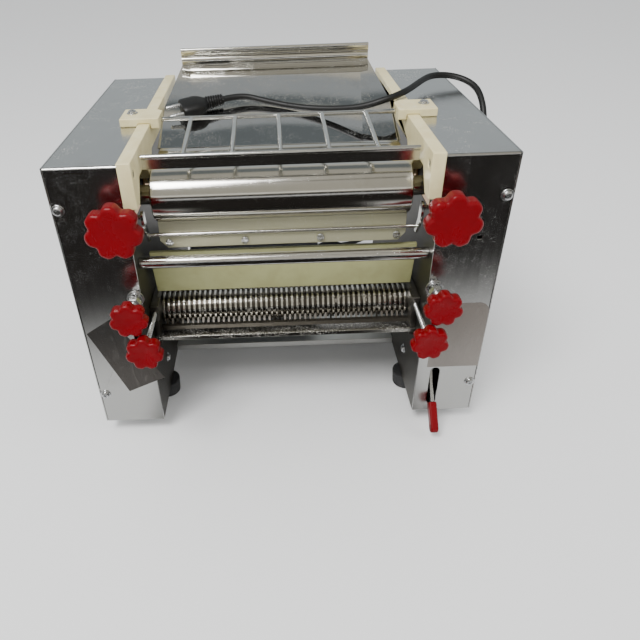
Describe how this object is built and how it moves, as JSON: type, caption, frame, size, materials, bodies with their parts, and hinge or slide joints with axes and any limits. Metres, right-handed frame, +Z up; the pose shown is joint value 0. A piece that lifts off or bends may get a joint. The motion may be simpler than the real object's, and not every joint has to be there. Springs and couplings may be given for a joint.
{
  "type": "electric pasta maker",
  "caption": "Electric noodle and dough press: two steel rollers, a noodle cutter, a sloping feed board, star knobs and a hinged guard between two steel side boxes.",
  "frame": {"origin": "middle of the footprint, on the surface that the feet stand on, without the cord", "axes": "+X to the operator's right, +Y to the back, +Z up"},
  "size_m": [0.4881, 0.513, 0.38],
  "materials": {
    "polished_steel": "bright polished stainless",
    "box_sheet": "polished stainless sheet with light brush lines",
    "plate_steel": "ground steel plate",
    "dark_steel": "dark oiled steel",
    "cutter_steel": "bright machined steel with a trace of flour",
    "zinc": "zinc-plated",
    "cream_nylon": "machined cream nylon",
    "guide_nylon": "pale yellow-green nylon",
    "red_plastic": "glossy red moulded plastic",
    "black_rubber": "black rubber",
    "black_plastic": "black moulded plastic",
    "cord_black": "black PVC sheath",
    "gear_steel": "oiled cut gear steel",
    "bronze": "sintered bronze",
    "motor_grey": "grey enamel",
    "belt_rubber": "black belt rubber",
    "guard_steel": "polished stainless rod"
  },
  "bodies": {
    "housing": {"left_frame_plate": "plate_steel", "right_frame_plate": "plate_steel", "base_plate": "plate_steel", "tie_rods": "polished_steel", "left_box_shell": "box_sheet", "right_box_shell": "box_sheet", "left_side_panel": "box_sheet", "right_side_panel": "box_sheet", "left_cheek_plate": "cream_nylon", "right_cheek_plate": "cream_nylon", "left_guard_block": "cream_nylon", "right_guard_block": "cream_nylon", "left_cutter_plate": "dark_steel", "right_cutter_plate": "dark_steel", "machine_screws": "zinc", "rubber_feet": "black_rubber", "feed_board": "polished_steel", "guide_board": "guide_nylon", "front_apron": "plate_steel", "noodle_combs": "cutter_steel", "shaft_bushes": "bronze", "motor_body": "motor_grey", "drive_belt": "belt_rubber", "switch_housing": "black_plastic", "cord_gland": "black_plastic", "lock_nuts": "zinc", "cord_tail": "cord_black", "cord_lead": "cord_black", "cord_coil": "cord_black", "power_plug": "black_plastic"},
    "front_carriage": {"bearing_blocks": "bronze"},
    "front_roller": {"front_press_roller": "polished_steel", "front_roller_gear": "gear_steel"},
    "rear_roller": {"rear_press_roller": "polished_steel", "rear_roller_gear": "gear_steel", "roller_drive_gear": "gear_steel", "takeoff_gear": "gear_steel"},
    "step_shaft": {"step_gear": "gear_steel"},
    "belt_shaft": {"layshaft": "gear_steel"},
    "motor_rotor": {"motor_pulley": "gear_steel"},
    "idler": {"idler_gear": "gear_steel"},
    "clutch": {"clutch_lever": "zinc", "lever_grip": "red_plastic"},
    "swing": {"swing_gear": "gear_steel"},
    "rear_cutter": {"rear_cutter_roller": "cutter_steel", "rear_cutter_gear": "gear_steel"},
    "front_cutter": {"front_cutter_roller": "cutter_steel", "front_cutter_gear": "gear_steel", "cutter_input_gear": "gear_steel"},
    "left_gap": {"left_gap_knob": "red_plastic"},
    "right_gap": {"right_gap_knob": "red_plastic"},
    "left_board": {"left_board_knob": "red_plastic"},
    "right_board": {"right_board_knob": "red_plastic"},
    "left_clamp": {"left_cutter_knob": "red_plastic"},
    "right_clamp": {"right_cutter_knob": "red_plastic"},
    "guard": {"guard_grille": "guard_steel"},
    "scraper": {"scraper_blade": "zinc", "scraper_hanger": "guard_steel", "scraper_screws": "zinc"},
    "rocker": {"switch_rocker": "black_plastic"}
  },
  "joints": [
    {"name": "rear_roller_spin", "type": "hinge", "parent": "housing", "child": "rear_roller", "pos_m": [0, -0.03185, 0.288], "axis": [1, 0, 0], "continuous": true},
    {"name": "front_carriage_slide", "type": "slide", "parent": "housing", "child": "front_carriage", "axis": [0, -1, 0], "range_m": [0, 0.004]},
    {"name": "front_roller_spin", "type": "hinge", "parent": "front_carriage", "child": "front_roller", "pos_m": [0, -0.08785, 0.288], "axis": [1, 0, 0], "continuous": true},
    {"name": "step_shaft_spin", "type": "hinge", "parent": "housing", "child": "step_shaft", "pos_m": [0, 0.00992, 0.24321], "axis": [1, 0, 0], "continuous": true},
    {"name": "belt_shaft_spin", "type": "hinge", "parent": "housing", "child": "belt_shaft", "pos_m": [0, 0.07492, 0.201], "axis": [1, 0, 0], "continuous": true},
    {"name": "motor_spin", "type": "hinge", "parent": "housing", "child": "motor_rotor", "pos_m": [0, 0.11315, 0.1], "axis": [1, 0, 0], "continuous": true},
    {"name": "idler_spin", "type": "hinge", "parent": "housing", "child": "idler", "pos_m": [0, -0.06428, 0.19129], "axis": [1, 0, 0], "continuous": true},
    {"name": "clutch_pivot", "type": "hinge", "parent": "housing", "child": "clutch", "pos_m": [0, -0.09685, 0.121], "axis": [-1, 0, 0], "range_deg": [0, 16]},
    {"name": "swing_gear_spin", "type": "hinge", "parent": "clutch", "child": "swing", "pos_m": [0, -0.06402, 0.10129], "axis": [1, 0, 0], "continuous": true},
    {"name": "rear_cutter_spin", "type": "hinge", "parent": "housing", "child": "rear_cutter", "pos_m": [0, -0.03785, 0.138], "axis": [1, 0, 0], "continuous": true},
    {"name": "front_cutter_spin", "type": "hinge", "parent": "housing", "child": "front_cutter", "pos_m": [0, -0.07385, 0.138], "axis": [1, 0, 0], "continuous": true},
    {"name": "left_gap_turn", "type": "hinge", "parent": "housing", "child": "left_gap", "pos_m": [-0.156, -0.14185, 0.288], "axis": [0, -1, 0], "range_deg": [0, 960]},
    {"name": "right_gap_turn", "type": "hinge", "parent": "housing", "child": "right_gap", "pos_m": [0.156, -0.14185, 0.288], "axis": [0, -1, 0], "range_deg": [0, 960]},
    {"name": "left_board_turn", "type": "hinge", "parent": "housing", "child": "left_board", "pos_m": [-0.156, -0.14185, 0.196], "axis": [0, -1, 0], "range_deg": [0, 720]},
    {"name": "right_board_turn", "type": "hinge", "parent": "housing", "child": "right_board", "pos_m": [0.156, -0.14185, 0.196], "axis": [0, -1, 0], "range_deg": [0, 720]},
    {"name": "left_clamp_turn", "type": "hinge", "parent": "housing", "child": "left_clamp", "pos_m": [-0.1452, -0.14185, 0.1585], "axis": [0, -1, 0], "range_deg": [0, 1080]},
    {"name": "right_clamp_turn", "type": "hinge", "parent": "housing", "child": "right_clamp", "pos_m": [0.1452, -0.14185, 0.1585], "axis": [0, -1, 0], "range_deg": [0, 1080]},
    {"name": "guard_hinge", "type": "hinge", "parent": "housing", "child": "guard", "pos_m": [0, -0.01285, 0.3425], "axis": [-1, 0, 0], "range_deg": [0, 90]},
    {"name": "scraper_hinge", "type": "hinge", "parent": "housing", "child": "scraper", "pos_m": [0, -0.11585, 0.276], "axis": [-1, 0, 0], "range_deg": [0, 6]},
    {"name": "switch_rock", "type": "hinge", "parent": "housing", "child": "rocker", "pos_m": [0.19, 0.18715, 0.252], "axis": [1, 0, 0], "range_deg": [0, 6]}
  ],
  "couplings": [
    {"joint": "front_roller_spin", "follows": "rear_roller_spin", "ratio": -1},
    {"joint": "step_shaft_spin", "follows": "rear_roller_spin", "ratio": -2.2667},
    {"joint": "belt_shaft_spin", "follows": "rear_roller_spin", "ratio": 7.7714},
    {"joint": "motor_spin", "follows": "rear_roller_spin", "ratio": 27.429},
    {"joint": "idler_spin", "follows": "rear_roller_spin", "ratio": -0.45714},
    {"joint": "swing_gear_spin", "follows": "rear_roller_spin", "ratio": 1.6},
    {"joint": "rear_cutter_spin", "follows": "rear_roller_spin", "ratio": 1.7778},
    {"joint": "front_cutter_spin", "follows": "rear_roller_spin", "ratio": -1.7778},
    {"joint": "left_gap_turn", "follows": "front_carriage_slide", "rad_per_m": 4188.8},
    {"joint": "right_gap_turn", "follows": "front_carriage_slide", "rad_per_m": 4188.8},
    {"joint": "scraper_hinge", "follows": "front_carriage_slide", "rad_per_m": 26.15}
  ]
}
